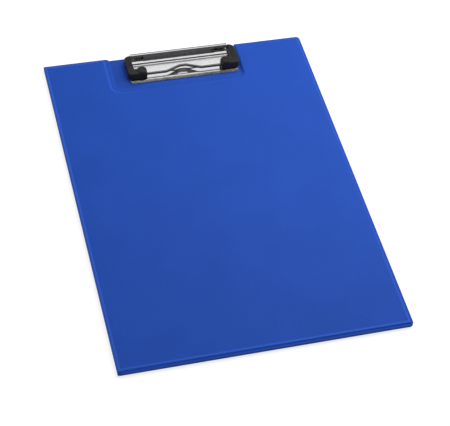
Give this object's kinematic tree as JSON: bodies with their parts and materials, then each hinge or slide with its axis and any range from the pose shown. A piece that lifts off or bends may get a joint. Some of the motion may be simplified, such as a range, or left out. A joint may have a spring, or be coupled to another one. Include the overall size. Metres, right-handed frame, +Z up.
{
  "type": "clipboard folder",
  "caption": "Foldover clipboard folder: welded plastic back panel with a wire clip, and a notched front cover that swings on a narrow fold.",
  "frame": {"origin": "centre of the closed folder's outline, on the plane under the back panel", "axes": "+X to the free edge, -X to the fold, +Y to the clip end, +Z up out of the cover"},
  "size_m": [0.23, 0.32, 0.0118],
  "materials": {
    "outer_pvc": "fine leather grain, semi-matte",
    "lining_pvc": "smooth, semi-matte",
    "grey_board": "pressed grey board, matte",
    "chrome": "bright plated",
    "black_plastic": "satin moulded",
    "spring_steel": "drawn wire",
    "rivet_steel": "plated, satin"
  },
  "bodies": {
    "back_panel": {"back_outer_skin": "outer_pvc", "back_board": "grey_board", "back_lining": "lining_pvc", "clip_base_plate": "chrome", "left_spring": "spring_steel", "right_spring": "spring_steel", "clip_rivets": "rivet_steel", "rivet_washers": "spring_steel"},
    "fold": {"fold_band": "outer_pvc", "fold_liner": "lining_pvc"},
    "cover": {"cover_outer_skin": "outer_pvc", "cover_board": "grey_board", "cover_lining": "lining_pvc", "cover_pocket": "lining_pvc"},
    "bail": {"bail_wire": "chrome", "left_corner_cap": "black_plastic", "right_corner_cap": "black_plastic"}
  },
  "joints": [
    {"name": "fold_hinge", "type": "hinge", "parent": "back_panel", "child": "fold", "pos_m": [-0.115, 0, 0.001], "axis": [0, -1, 0], "range_deg": [0, 180]},
    {"name": "cover_hinge", "type": "hinge", "parent": "fold", "child": "cover", "pos_m": [-0.115, 0, 0.0043], "axis": [0, -1, 0], "range_deg": [0, 180]},
    {"name": "bail_hinge", "type": "hinge", "parent": "back_panel", "child": "bail", "pos_m": [0.0033, 0.156, 0.0064], "axis": [-1, 0, 0], "range_deg": [0, 95], "stiffness_Nm_per_rad": 0.08, "springref_deg": -57.3}
  ],
  "couplings": [
    {"joint": "fold_hinge", "follows": "cover_hinge", "ratio": 1}
  ]
}
